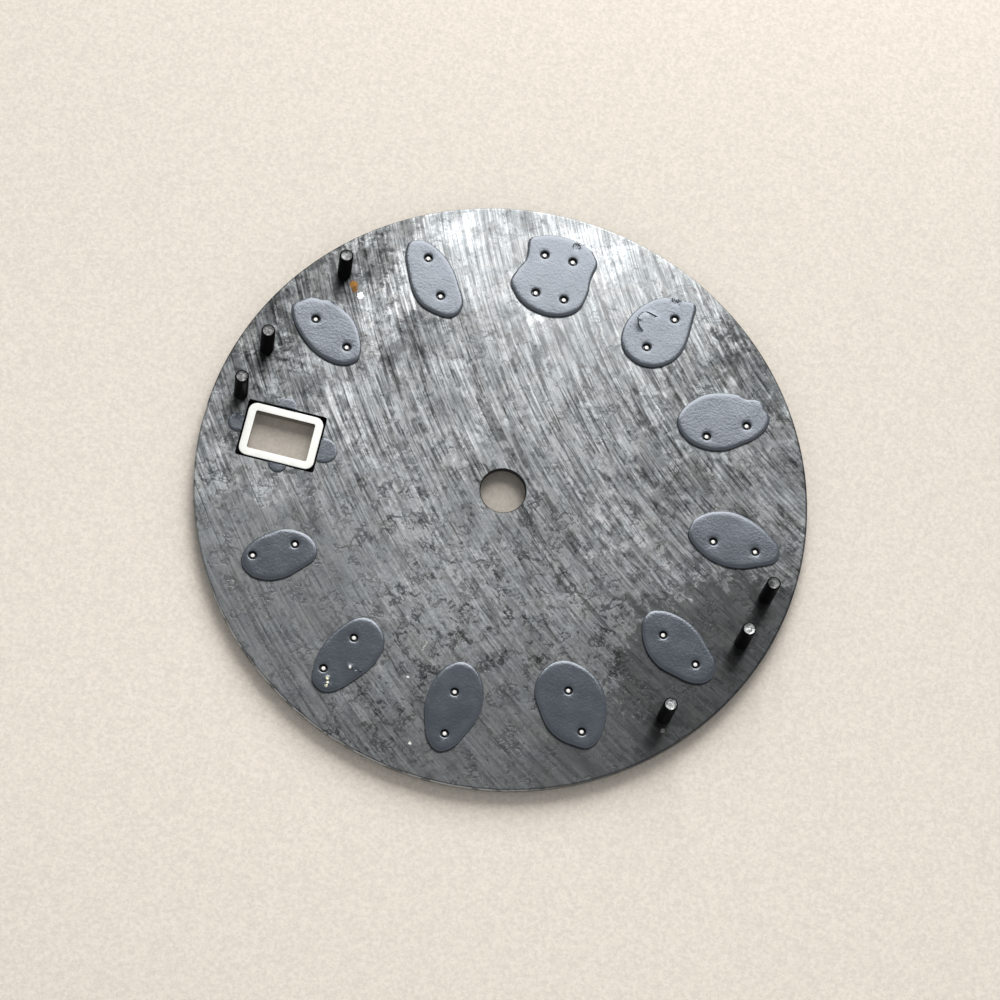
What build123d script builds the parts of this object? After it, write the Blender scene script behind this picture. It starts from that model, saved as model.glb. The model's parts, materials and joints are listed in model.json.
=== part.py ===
from build123d import *
import os
from math import cos, radians, sin, tan

# A watch dial in millimetres. The origin is on the axis of the centre hole, in the plane of the
# plate's back. +Z points out of the back, where the dial feet stand, and +Y points to 12 o'clock.
# Seen from the back the hours run anticlockwise, so 3 o'clock and its date window are towards -X.

# Plate
dial_diameter = 28.5
plate_thickness = 0.3
plate_edge_bevel = 0.05
centre_hole_diameter = 2.1

# Dial feet: each stands on the back with a thinner tenon in a blind seat. Angles run anticlockwise
# from 9 o'clock, and each foot has its own share of the circle's radius.
foot_diameter = 0.65
foot_length = 2.2
foot_tip_bevel = 0.08
foot_tenon_diameter = 0.4
foot_tenon_length = 0.12
foot_tenon_clearance = 0.02
foot_edge_distance = 1.25
foot_angles = (138.2, 161.7, 173.1, -8.8, -19.8, -42.7)
foot_radius_shares = (0.996, 0.992, 0.996, 1.006, 1.002, 0.994)

# Hour markers on the front, with two feet each
marker_edge_distance = 3.25
marker_length = 3.4
marker_width = 1.1
marker_height = 0.45
marker_bevel = 0.13
marker_pair_spacing = 1.37
marker_foot_spacing = 2.0
marker_foot_diameter = 0.24
marker_foot_bevel = 0.04
marker_foot_proud = 0.09
marker_foot_clearance = 0.03

# Luminous inserts in the markers' channels
lume_channel_length = 2.8
lume_channel_width = 0.56
lume_channel_depth = 0.25
lume_clearance = 0.01
lume_recess = 0.04
lume_edge_bevel = 0.05

# Adhesive pads over the marker feet
pad_thickness = 0.16
pad_edge_bevel = 0.1
pad_well_diameter = 0.38
pad_well_bevel = 0.04
pad_corner_share = 0.45

# Date aperture in the plate, and the frame that lines it
date_edge_distance = 3.7
aperture_length = 3.72
aperture_width = 2.8
frame_gap = 0.08
frame_corner = 0.3
frame_recess = 0.01
flange_overlap = 0.3
flange_corner = 0.4
flange_thickness = 0.22
flange_bevel = 0.08
window_length = 2.8
window_width = 1.87
window_corner = 0.08
window_bevel = 0.1

# Adhesive beads in half-round pockets at the aperture's edges, each with a low tongue across the gap
# to the frame
pocket_radius = 0.5
pocket_depth = 0.16
bead_clearance = 0.01
bead_height = 0.07
bead_edge_bevel = 0.05
tongue_thickness = 0.07
tongue_width = 0.6

# Rounds under half a millimetre across, which repeat many times, are regular polygons
small_round_sides = 12

# Outline of each pad as points (across, outward) from the middle of its marker, in shares of half
# the spacing of the marker feet. Across is positive to the right with outward as up. The corners are
# rounded by arcs that take up the corner share of the shorter side beside them.
pad_outline_shares = {
    1: (
        (0.0, 1.98), (0.42, 1.57), (0.8, 0.85), (0.97, 0.0), (0.97, -1.6), (0.55, -2.06),
        (0.05, -2.13), (-0.55, -1.7), (-1.02, -1.15), (-1.2, -0.4), (-1.0, 1.5), (-0.6, 2.0),
    ),
    2: (
        (0.45, 2.08), (0.95, 1.4), (1.27, 0.0), (0.98, -0.8), (0.48, -1.48), (-0.1, -1.84),
        (-0.7, -1.56), (-1.05, -0.95), (-1.2, -0.1), (-1.1, 0.75), (-0.8, 1.6), (-0.4, 2.2),
    ),
    4: (
        (0.0, 1.53), (0.4, 1.22), (0.72, 0.6), (0.87, -0.6), (0.58, -1.3), (0.1, -1.78),
        (-0.5, -1.93), (-0.95, -1.65), (-1.38, -0.2), (-1.33, 0.6), (-1.0, 1.23), (-0.5, 1.55),
    ),
    5: (
        (0.0, 1.77), (0.6, 0.82), (0.8, 0.0), (0.79, -0.9), (0.62, -1.7), (0.2, -2.12),
        (-0.4, -2.2), (-1.0, -1.97), (-1.38, -1.4), (-1.5, -0.5), (-1.2, 1.2), (-0.6, 1.83),
    ),
    6: (
        (0.0, 1.86), (0.42, 1.74), (0.8, 1.25), (1.18, -0.2), (1.1, -1.05), (0.78, -1.95),
        (0.1, -2.48), (-0.6, -2.35), (-1.12, -1.8), (-1.35, -0.9), (-1.28, -0.05), (-0.55, 1.5),
    ),
    7: (
        (0.0, 1.83), (1.05, 1.08), (1.45, 0.35), (1.53, -1.25), (1.15, -2.02), (0.35, -2.46),
        (-0.45, -2.35), (-1.15, -1.7), (-1.5, -0.9), (-1.5, 0.05), (-1.15, 0.9), (-0.6, 1.6),
    ),
    8: (
        (0.0, 1.95), (0.45, 1.82), (0.85, 1.3), (1.24, -0.15), (1.12, -0.93), (0.72, -1.6),
        (0.1, -2.17), (-0.5, -2.16), (-1.0, -1.58), (-1.26, -0.75), (-1.25, 0.1), (-0.7, 1.7),
    ),
    9: (
        (0.0, 2.15), (0.35, 1.9), (0.9, 0.63), (1.0, -0.1), (0.88, -0.95), (0.45, -1.75), (-0.2, -2.17),
        (-0.8, -2.13), (-1.35, -1.5), (-1.65, -0.5), (-1.47, 0.5), (-1.07, 1.37), (-0.5, 2.05),
    ),
    10: (
        (0.0, 2.17), (0.38, 1.83), (0.7, 1.2), (0.88, -0.4), (0.58, -1.23), (0.0, -1.9), (-0.7, -2.13),
        (-1.3, -2.02), (-1.78, -1.35), (-2.02, -0.35), (-1.75, 0.75), (-1.25, 1.6), (-0.6, 2.15),
    ),
    11: (
        (0.05, 2.1), (0.43, 1.98), (1.07, 0.75), (1.33, 0.1), (1.35, -0.6), (1.0, -1.43), (0.3, -1.9),
        (-0.5, -1.93), (-1.15, -1.55), (-1.55, -0.75), (-1.6, 0.3), (-1.25, 1.35), (-0.5, 1.92),
    ),
    12: (
        (0.0, 2.13), (0.75, 2.06), (1.45, 1.77), (1.8, 1.25), (1.7, -0.5), (1.5, -1.35), (0.8, -1.83),
        (0.0, -1.97), (-0.9, -1.8), (-1.6, -1.3), (-1.93, -0.65), (-1.7, 0.1), (-1.55, 1.55),
        (-0.85, 2.05),
    ),
}

# Each pocket's side of the aperture as an angle, and then its place along that side, its centre's
# place beyond the edge and its radius, in shares of the pocket radius
pocket_shares = {
    "right": (0, -0.44, 0.48, 1.26),
    "top": (90, 0.1, 0.0, 1.0),
    "left": (180, -0.26, 0.48, 0.96),
    "bottom": (270, 0.34, -0.1, 0.94),
}

hours = tuple(pad_outline_shares)
hour_step_angle = 30
quarter_turn_angle = 90
twelve_angle = quarter_turn_angle

front_height = -plate_thickness
foot_circle_radius = dial_diameter / 2 - foot_edge_distance
marker_circle_radius = dial_diameter / 2 - marker_edge_distance
date_x = date_edge_distance - dial_diameter / 2
half_foot_spacing = marker_foot_spacing / 2
frame_length = aperture_length - 2 * frame_gap
frame_width = aperture_width - 2 * frame_gap


def outward_direction(angle):
    return Vector(cos(radians(angle)), sin(radians(angle)))


def hour_angle(hour):
    return twelve_angle + hour * hour_step_angle


def back_plane(hour, aside=0):
    """A plane on the plate's back at a marker: x runs outward, y to the left, and z out of the back."""
    outward = outward_direction(hour_angle(hour))
    left = outward.rotate(Axis.Z, quarter_turn_angle)
    return Plane(origin=outward * marker_circle_radius + left * aside, x_dir=outward, z_dir=(0, 0, 1))


def front_plane(hour, aside):
    """The same place on the plate's front, with z out of the front."""
    back = back_plane(hour, aside)
    return Plane(origin=back.origin + Vector(0, 0, front_height), x_dir=back.x_dir, z_dir=(0, 0, -1))


def marker_places():
    """The name, the hour and the sideways place of each marker. Two stand side by side at 12."""
    places = []
    for hour in hours:
        if hour == 12:
            places.append(("12_left", hour, marker_pair_spacing / 2))
            places.append(("12_right", hour, -marker_pair_spacing / 2))
        else:
            places.append((f"{hour:02d}", hour, 0))
    return places


def asides_of(hour):
    return [aside for _, place_hour, aside in marker_places() if place_hour == hour]


def local_feet(asides):
    """The places of the marker feet on a marker's plane."""
    return [(end * half_foot_spacing, aside) for aside in asides for end in (1, -1)]


def marker_foot_places():
    """The places of all marker feet in the dial's own frame."""
    places = []
    for hour in hours:
        plane = back_plane(hour)
        for along, aside in local_feet(asides_of(hour)):
            places.append(plane.origin + plane.x_dir * along + plane.y_dir * aside)
    return places


def dial_foot_places():
    places = []
    for angle, share in zip(foot_angles, foot_radius_shares):
        places.append(outward_direction(angle) * foot_circle_radius * share)
    return places


def aperture_edge_plane(side):
    """A plane on the back at the aperture's edge beside a pocket: x runs out of the aperture."""
    angle, along_share, _, _ = pocket_shares[side]
    outward = outward_direction(angle)
    along = outward.rotate(Axis.Z, quarter_turn_angle)
    reach = abs(outward.X) * aperture_length / 2 + abs(outward.Y) * aperture_width / 2
    origin = Vector(date_x, 0) + outward * reach + along * along_share * pocket_radius
    return Plane(origin=origin, x_dir=outward, z_dir=(0, 0, 1))


def pocket_place(side):
    """The centre of a pocket's circle on its edge plane."""
    return (pocket_shares[side][2] * pocket_radius, 0)


def pocket_size(side):
    return pocket_shares[side][3] * pocket_radius


def make_plate():
    with BuildPart() as plate:
        with BuildSketch(Plane.XY.offset(front_height)):
            Circle(dial_diameter / 2)
        extrude(amount=plate_thickness)
        chamfer(plate.edges(), length=plate_edge_bevel)
        with Locations((0, 0, 0)):
            Hole(radius=centre_hole_diameter / 2)
        with BuildSketch(Plane.XY):
            with Locations((date_x, 0)):
                Rectangle(aperture_length, aperture_width)
            with Locations(*marker_foot_places()):
                RegularPolygon(marker_foot_diameter / 2 + marker_foot_clearance, small_round_sides)
        extrude(amount=-plate_thickness, mode=Mode.SUBTRACT)
        with BuildSketch(Plane.XY):
            with Locations(*dial_foot_places()):
                RegularPolygon(foot_tenon_diameter / 2 + foot_tenon_clearance, small_round_sides)
        extrude(amount=-foot_tenon_length, mode=Mode.SUBTRACT)
        for side in pocket_shares:
            with BuildSketch(aperture_edge_plane(side)):
                with Locations(pocket_place(side)):
                    Circle(pocket_size(side))
            extrude(amount=-pocket_depth, mode=Mode.SUBTRACT)
    plate.part.label = "dial_plate"
    export_step(plate.part, "parts/dial_plate.step")


def make_dial_foot(number, place):
    with BuildPart() as foot:
        with BuildSketch(Plane.XY.offset(-foot_tenon_length)):
            with Locations(place):
                RegularPolygon(foot_tenon_diameter / 2, small_round_sides)
        extrude(amount=foot_tenon_length)
        with BuildSketch(Plane.XY):
            with Locations(place):
                Circle(foot_diameter / 2)
        extrude(amount=foot_length)
        chamfer(foot.edges().sort_by(Axis.Z)[-1], length=foot_tip_bevel)
    foot.part.label = f"dial_foot_{number}"
    export_step(foot.part, f"parts/dial_foot_{number}.step")


def make_marker(name, hour, aside):
    front = front_plane(hour, aside)
    with BuildPart() as marker:
        with BuildSketch(front):
            Rectangle(marker_length, marker_width)
        extrude(amount=marker_height)
        chamfer(marker.faces().sort_by(Axis.Z)[0].edges(), length=marker_bevel)
        with BuildSketch(front.offset(marker_height)):
            Rectangle(lume_channel_length, lume_channel_width)
        extrude(amount=-lume_channel_depth, mode=Mode.SUBTRACT)
        with BuildSketch(front):
            with Locations(*local_feet([0])):
                RegularPolygon(marker_foot_diameter / 2, small_round_sides)
        extrude(amount=-plate_thickness - marker_foot_proud)
        chamfer(marker.edges().group_by(Axis.Z)[-1], length=marker_foot_bevel)
    marker.part.label = f"marker_{name}"
    export_step(marker.part, f"parts/marker_{name}.step")


def make_lume(name, hour, aside):
    front = front_plane(hour, aside)
    with BuildPart() as lume:
        with BuildSketch(front.offset(marker_height - lume_channel_depth)):
            Rectangle(lume_channel_length - 2 * lume_clearance, lume_channel_width - 2 * lume_clearance)
        extrude(amount=lume_channel_depth - lume_recess)
        chamfer(lume.faces().sort_by(Axis.Z)[0].edges(), length=lume_edge_bevel)
    lume.part.label = f"lume_{name}"
    export_step(lume.part, f"parts/lume_{name}.step")


def pad_points(hour):
    points = []
    for across_share, outward_share in pad_outline_shares[hour]:
        points.append(Vector(outward_share, -across_share) * half_foot_spacing)
    return points


def pad_corner_radii(points):
    radii = []
    for index, corner in enumerate(points):
        side_before = corner - points[index - 1]
        side_after = points[(index + 1) % len(points)] - corner
        reach = pad_corner_share * min(side_before.length, side_after.length)
        radii.append(reach / tan(radians(side_before.get_angle(side_after) / 2)))
    return radii


def make_pad(hour):
    points = pad_points(hour)
    with BuildPart() as pad:
        with BuildSketch(back_plane(hour)):
            with BuildLine():
                FilletPolyline(*points, radius=pad_corner_radii(points), close=True)
            make_face()
            with Locations(*local_feet(asides_of(hour))):
                RegularPolygon(pad_well_diameter / 2, small_round_sides, mode=Mode.SUBTRACT)
        extrude(amount=pad_thickness)
        top = pad.faces().sort_by(Axis.Z)[-1]
        chamfer(top.outer_wire().edges(), length=pad_edge_bevel)
        top = pad.faces().sort_by(Axis.Z)[-1]
        chamfer(top.inner_wires().edges(), length=pad_well_bevel)
    pad.part.label = f"glue_pad_{hour:02d}"
    export_step(pad.part, f"parts/glue_pad_{hour:02d}.step")


def make_date_frame():
    with BuildPart() as frame:
        with BuildSketch(Plane.XY.offset(-frame_recess)):
            with Locations((date_x, 0)):
                RectangleRounded(frame_length, frame_width, frame_corner)
        extrude(amount=frame_recess - plate_thickness)
        with BuildSketch(Plane.XY.offset(front_height)):
            with Locations((date_x, 0)):
                RectangleRounded(
                    aperture_length + 2 * flange_overlap,
                    aperture_width + 2 * flange_overlap,
                    flange_corner,
                )
        extrude(amount=-flange_thickness)
        chamfer(frame.edges().group_by(Axis.Z)[0], length=flange_bevel)
        with BuildSketch(Plane.XY):
            with Locations((date_x, 0)):
                RectangleRounded(window_length, window_width, window_corner)
        extrude(amount=front_height - flange_thickness, mode=Mode.SUBTRACT)
        front_face = frame.faces().sort_by(Axis.Z)[0]
        chamfer(front_face.inner_wires().edges(), length=window_bevel)
    frame.part.label = "date_frame"
    export_step(frame.part, "parts/date_frame.step")


def make_bead(side):
    edge_plane = aperture_edge_plane(side)
    with BuildPart() as bead:
        with BuildSketch(edge_plane.offset(-pocket_depth)):
            with Locations(pocket_place(side)):
                Circle(pocket_size(side) - bead_clearance)
            with Locations((-aperture_length / 2, 0)):
                Rectangle(aperture_length, aperture_length, mode=Mode.SUBTRACT)
        extrude(amount=pocket_depth + bead_height)
        chamfer(bead.edges().group_by(Axis.Z)[-1], length=bead_edge_bevel)
        with BuildSketch(edge_plane.offset(-pocket_depth)):
            with Locations((-frame_gap / 2, 0)):
                Rectangle(frame_gap, tongue_width)
        extrude(amount=tongue_thickness)
    bead.part.label = f"glue_bead_{side}"
    export_step(bead.part, f"parts/glue_bead_{side}.step")


os.makedirs("parts", exist_ok=True)
make_plate()
make_date_frame()
for number, place in enumerate(dial_foot_places(), start=1):
    make_dial_foot(number, place)
for name, hour, aside in marker_places():
    make_marker(name, hour, aside)
    make_lume(name, hour, aside)
for hour in hours:
    make_pad(hour)
for side in pocket_shares:
    make_bead(side)
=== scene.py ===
import json
from functools import partial
from math import atan2, cos, hypot, pi, radians, sin, sqrt, tau

import bmesh
import bpy
from mathutils import Matrix, Vector, noise
from mathutils.geometry import delaunay_2d_cdt

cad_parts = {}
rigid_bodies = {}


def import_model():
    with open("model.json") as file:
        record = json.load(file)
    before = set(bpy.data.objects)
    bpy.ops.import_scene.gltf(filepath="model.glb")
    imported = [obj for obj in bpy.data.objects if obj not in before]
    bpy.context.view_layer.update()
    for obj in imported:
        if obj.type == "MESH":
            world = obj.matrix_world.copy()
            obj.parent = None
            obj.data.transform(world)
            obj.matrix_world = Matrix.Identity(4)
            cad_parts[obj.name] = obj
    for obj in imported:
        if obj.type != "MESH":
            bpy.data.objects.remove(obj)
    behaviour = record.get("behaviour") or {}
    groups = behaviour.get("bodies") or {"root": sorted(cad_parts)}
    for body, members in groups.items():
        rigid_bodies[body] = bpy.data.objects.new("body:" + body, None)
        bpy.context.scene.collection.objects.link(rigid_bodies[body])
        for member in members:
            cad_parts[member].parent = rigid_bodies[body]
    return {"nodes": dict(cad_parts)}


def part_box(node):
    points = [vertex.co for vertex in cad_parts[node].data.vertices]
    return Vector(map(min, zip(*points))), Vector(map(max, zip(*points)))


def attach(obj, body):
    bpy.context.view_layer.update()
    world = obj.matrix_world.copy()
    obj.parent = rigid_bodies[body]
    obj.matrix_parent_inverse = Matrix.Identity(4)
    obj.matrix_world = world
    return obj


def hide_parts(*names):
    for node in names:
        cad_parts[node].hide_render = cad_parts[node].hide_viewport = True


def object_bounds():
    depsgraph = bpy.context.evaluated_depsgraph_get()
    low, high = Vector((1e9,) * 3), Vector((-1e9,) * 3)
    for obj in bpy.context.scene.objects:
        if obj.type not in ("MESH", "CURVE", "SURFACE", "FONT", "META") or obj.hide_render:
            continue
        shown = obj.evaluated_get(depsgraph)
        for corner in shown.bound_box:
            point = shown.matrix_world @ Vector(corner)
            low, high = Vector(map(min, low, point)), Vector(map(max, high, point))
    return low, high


# The looks of a watch dial that lies face down. Sizes and places are in millimetres.

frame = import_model()
cad_low, cad_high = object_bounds()

mm = 0.001
body = "root"

# Camera
camera_place = Vector((-2.72, -52.47, 143.08))
camera_target = Vector((-0.03, -0.43, -0.16))
camera_roll = radians(16.68)
camera_lens = 118.74
camera_nearest = 10
camera_farthest = 10000

# Light
lamp_direction = Vector((-0.02, 0.743, 0.669))
lamp_distance = 138
lamp_width = 85
lamp_height = 119
lamp_power = 0.207
room_level = 0.51
ceiling_level = 0.15
ceiling_direction = Vector((0, 0.25, 0.97))
ceiling_start = 0.76
ceiling_end = 0.965

# Stage: the floor's colour varies between two shares of it, is painted paler below the dial and darker
# above it against the lamp's falloff, and is darker under the dial, a painted shadow
floor_size = 1200
floor_colour = (0.80, 0.73, 0.64)
floor_variation = (0.84, 1.07)
floor_near = -26
floor_far = 24
# Painted light: the floor is paler towards the front and darker towards the back, against the lamp's
# falloff
floor_painted_falloff = (1.18, 0.92)
# Painted shadow under the dial: its level and how soft its edge is
painted_shadow_level = 0.68
painted_shadow_softness = 0.1

# Meshes
sharp_angle = 40
merge_distance = 1e-4
without_holes = 2
fill_tolerance = 1e-7

# Outlines read from the flat nodes
outline_steps = 120
level_margin = 0.01
least_turn = 1e-9

# Pads of adhesive, which slope down to a low wall, and the wells in them round the marker feet. An edge
# is given as shares of its width and of the pad's rise, a lip as distances and shares of the rise, and a
# dimple as shares of its radius and depth.
pad_edge_width = 0.28
bead_edge_width = 0.16
pad_edge = ((0.0, 0.5), (0.01, 0.72), (0.03, 0.79), (0.07, 0.84), (0.14, 0.885), (0.24, 0.925),
            (0.36, 0.957), (0.5, 0.98), (0.66, 0.992), (0.84, 0.998), (1.0, 1.0))
edge_wobble = 0.25
edge_wobble_scale = 1.7
sheer_share = 0.85
pad_spread = 0.04
pad_swell = 0.004
pad_swell_scale = 1.2
well_radius = 0.2
well_lip = ((0.0, 0.85), (0.008, 0.91), (0.022, 0.95), (0.045, 0.985), (0.07, 1.0))
well_taper = 0.01
well_clearance = 0.26
well_floor_height = 0.015
well_hole_radius = 0.135
well_sides = 32
dimple_profile = ((0.1, 0.8), (0.4, 0.9), (0.65, 1.0), (0.82, 0.75), (0.93, 0.3), (1.0, 0.0), (1.15, -0.1))
fill_spacing = 0.17
fill_margin = 1.3

# Marks on the pads by hour, placed by the distance across and outward from the marker's middle. A push
# has a reach and an amount by which the outline moves out, a dimple a radius and a depth, and a fleck a
# reach and a colour. A crack runs through its places, and its rows are distances aside and heights.
pad_pushes = {
    12: ((-1.54, 0.71, 0.9, -0.19), (-1.6, 1.75, 0.6, 0.14), (-1.94, -0.69, 0.6, 0.07),
         (1.71, 0.3, 0.7, -0.07), (1.87, 1.16, 0.5, 0.05)),
    11: ((0.15, 2.15, 0.55, 0.17),),
    10: ((-1.3, 1.4, 0.38, -0.11), (-0.95, 1.85, 0.5, 0.14), (-0.55, 2.2, 0.2, -0.05)),
    9: ((0.05, -2.17, 0.6, 0.09),),
    2: ((-0.23, 2.31, 0.5, 0.09), (0.7, 1.8, 0.4, 0.04), (1.12, 0.9, 0.7, 0.15)),
    5: ((-0.98, 1.67, 0.7, 0.09),),
    1: ((-0.7, 2.04, 0.5, 0.06),),
}
pad_dimples = {
    12: ((0.7, 1.78, 0.2, 0.02),),
    11: ((-0.62, 1.76, 0.19, 0.04),),
    5: ((-0.82, 0.13, 0.08, -0.03), (-0.45, 1.22, 0.09, -0.04), (-0.64, 1.44, 0.09, -0.04)),
}
pad_cracks = {
    11: ((-0.79, 0.46), (-1.02, 0.41), (-1.21, 0.33), (-1.35, 0.12), (-1.31, -0.2), (-1.09, -0.41),
         (-0.87, -0.52)),
    5: ((-0.92, 0.1), (-1.15, 0.03), (-1.36, -0.05)),
}
crack_step = 0.04
crack_rows = ((-0.07, 0.0), (-0.02, 0.012), (0.0, -0.04), (0.025, -0.03), (0.05, 0.0))
crack_strengths = (0.3, 1.5)
cream = (0.9, 0.86, 0.6)
pad_flecks = {
    5: ((-0.45, 1.22, 0.1, cream), (-0.6, 1.36, 0.08, cream), (-0.66, 1.5, 0.08, cream),
        (-0.82, 0.13, 0.09, (0.9, 0.9, 0.85))),
}

# Dial feet: the profile is given as shares of the radius and depths below the tip, and its cut end begins
# at one of its steps
foot_radius = 0.325
foot_length = 2.2
foot_sides = 48
foot_profile = ((1.0, 2.2), (1.0, 1.9), (1.0, 1.2), (1.0, 0.5), (1.0, 0.1), (0.985, 0.05), (0.94, 0.02),
                (0.86, 0.005), (0.78, 0.0), (0.74, 0.005), (0.72, 0.01), (0.4, 0.013), (0.15, 0.012))
foot_cut_step = 8
bright_feet = (5, 6)

# Markers and their feet. A foot's tip is given as shares of its radius and depths below its top, and the
# insert's edge as margins and heights above its front.
hours = (1, 2, 4, 5, 6, 7, 8, 9, 10, 11, 12)
marker_circle_radius = 11.0
marker_foot_along = 1.0
marker_pair_aside = 0.685
marker_size = (3.4, 1.1)
marker_bevel = 0.13
marker_corner = 0.02
marker_corner_steps = 2
channel_size = (2.8, 0.56)
channel_depth = 0.25
lume_edge = ((0.02, 0.04), (0.05, 0.01), (0.12, 0.0))
lume_corner = 0.03
marker_foot_radius = 0.12
marker_foot_top = 0.09
marker_foot_sides = 24
marker_foot_tip = ((1.0, 0.05), (0.93, 0.02), (0.74, 0.006), (0.45, 0.0))
front_height = -0.3
edge_softness = 0.015

# Brushing of the metal along arcs about a far centre, which wears off towards 6 o'clock. A band of streaks
# has its fineness across and along the arcs, its wander, shift and detail, and its limits. Lines have
# their fineness, wander and shift, their width, the scale and limits of the noise that breaks them up,
# and how much darker they are. Veins have a scale in place of fineness, wander and shift.
brush_centre = (29.5, 26.4)
brush_depth = 0.0015
brushed_bands = ((9, 0.5, 0.12, 0.0, 1, 0.34, 0.66), (5, 0.2, 0.12, 3.1, 1, 0.3, 0.7),
                 (1.1, 0.1, 0.2, 0.0, 2, 0.3, 0.7))
band_amounts = (0.15, 0.08, 0.08)
brushed_lines = ((2.4, 0.09, 0.1, 7.7, 0.05, 1.0, 0.4, 0.54, 0.56),
                 (4.0, 0.15, 0.1, 4.3, 0.075, 1.3, 0.38, 0.56, 0.4),
                 (3.2, 0.12, 0.1, 1.7, 0.06, 1.2, 0.4, 0.58, -0.32))
scratch_lines = (1.3, 0.08, 0.04, 5.3, 0.028, 0.7, 0.46, 0.54)
crack_veins = (1.2, 0.05, 0.9, 0.53, 0.58)
worm_veins = (2.4, 0.07, 1.1, 0.5, 0.58)
line_core = 0.3
brushed_level = 1.03
worn_level = 1.08
brushed_from = (-1, 13)
cloud_reach = 14

# Marks on the back of the plate. The stains are patina in part, and in part painted shade and painted
# light that shape how bright the metal's reflection looks across the plate. A stain has a place, a reach
# and how much darker it is, or paler if that is negative. A film is a stain with a sharper edge and less
# contrast in it, a calm place has less contrast, and a speck has a place, a reach and a colour.
stains_and_painted_light = ((-11.0, 7.5, 6.0, 0.5), (-13.6, 5.6, 5.0, 0.5), (-12.0, 9.6, 3.0, 0.5), (-8.2, 9.4, 2.0, 0.5),
          (-7.8, 11.6, 2.2, 0.5), (-9.4, 10.6, 1.6, 0.3), (-5.6, 6.0, 2.8, 0.35), (-6.3, 5.7, 1.6, 0.4),
          (-5.4, 7.2, 1.5, 0.3), (-5.5, 3.8, 1.6, 0.3), (-3.8, 7.0, 2.4, 0.22), (-2.2, 8.4, 1.4, 0.15),
          (-1.0, 5.6, 2.0, 0.12), (-0.3, 2.6, 1.6, 0.2), (0.8, 1.6, 1.5, 0.24), (-3.4, 3.8, 2.0, 0.22),
          (-11.6, 0.2, 3.0, 0.45), (-10.3, 2.6, 2.0, 0.3), (-11.8, 3.2, 1.4, 0.3),
          (-13.9, 2.8, 2.2, 0.45), (-8.6, -4.2, 2.0, 0.15), (-1.3, -0.3, 1.2, 0.2),
          (-0.4, -1.9, 1.4, 0.1), (4.6, 5.0, 1.6, 0.3), (6.4, 3.7, 2.2, 0.42), (8.5, 3.1, 2.2, 0.4),
          (10.7, 3.0, 2.0, 0.25), (12.9, 4.4, 1.8, 0.25), (12.5, 6.4, 2.0, 0.4), (5.4, 1.4, 1.3, 0.3),
          (7.1, 1.8, 1.6, 0.4), (10.4, 9.0, 4.0, 0.55), (9.2, 10.8, 2.2, 0.5), (7.6, 8.2, 2.0, 0.3),
          (6.8, 6.9, 1.6, 0.35), (6.9, 5.2, 1.6, 0.15), (2.6, 5.0, 2.0, 0.15), (6.4, -5.8, 2.0, 0.1),
          (-2.2, 13.2, 1.4, 0.3), (-6.9, 7.8, 1.2, -0.25), (-8.5, 6.6, 1.6, -0.4),
          (-9.8, 4.7, 1.4, -0.45), (-8.4, 2.0, 1.8, -0.4), (-6.9, 0.4, 2.2, -0.45),
          (-4.8, 12.6, 1.8, -0.45), (-0.9, 9.8, 2.2, -0.45), (1.6, 12.8, 2.8, -0.5),
          (0.6, 8.6, 1.4, -0.25), (-1.4, 3.8, 1.2, -0.2), (-2.3, 1.6, 1.6, -0.35),
          (-4.2, -0.8, 2.6, -0.28), (-3.3, -2.8, 2.2, -0.28), (-0.3, -2.8, 1.6, -0.3),
          (-0.6, -6.0, 5.0, -0.32), (-4.2, -6.2, 2.6, -0.2), (4.0, -4.4, 2.6, -0.25),
          (4.6, 0.4, 1.4, -0.2), (5.7, -1.1, 1.7, -0.5), (7.9, -2.4, 1.8, -0.15), (9.2, -2.5, 1.8, -0.5),
          (-13.2, 0.0, 1.3, -0.3), (-13.4, -2.4, 2.4, -0.4), (-10.3, -2.1, 2.2, -0.45),
          (5.4, -13.0, 2.6, -0.3), (-4.4, -10.6, 3.4, -0.2), (-12.2, 6.9, 1.2, 0.25),
          (-9.7, 1.8, 1.2, 0.25), (-10.8, 4.6, 1.2, 0.3), (3.9, 6.1, 1.5, 0.28), (11.0, 5.1, 1.5, 0.3),
          (9.3, 8.5, 1.6, -0.5), (4.9, 0.5, 1.5, -0.4), (4.7, -1.3, 1.2, -0.2), (0.5, -1.9, 1.0, 0.22),
          (-5.0, 5.6, 0.9, -0.3), (8.0, 11.8, 1.2, 0.3), (-13.7, 1.2, 1.2, 0.3), (2.2, 14.0, 1.3, 0.25),
          (-5.8, 12.7, 1.1, 0.25))
films = ((12.8, -7.0, 8.2, 0.42), (7.6, -12.0, 5.0, 0.12))
calm_places = ((1.0, 14.0, 11.0), (-9.5, -8.5, 8.5), (3.0, -13.5, 7.0))
specks = ((-9.08, 8.22, 0.24, (0.13, 0.065, 0.018)), (-8.98, 8.02, 0.18, (0.08, 0.042, 0.015)),
          (-8.66, 7.76, 0.17, (0.95, 0.95, 0.93)),
          *((-1.87 + 0.03 * k, -8.4 + 0.1 * k, 0.045, (0.55, 0.56, 0.5)) for k in range(5)),
          (-2.2, -9.8, 0.09, (0.95, 0.95, 0.9)), (-1.4, -12.8, 0.08, (0.95, 0.95, 0.9)),
          (9.55, -9.4, 0.12, (0.8, 0.8, 0.78)))
stain_ragging = 0.35
stain_edge = (0.1, 0.9)
film_ragging = 0.5
film_edge = (0.13, 0.26)
film_tones = (0.55, 1.15)
calm_softness = 0.65
calm_tones = (0.6, 1.4)
speck_softness = 0.4
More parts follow.
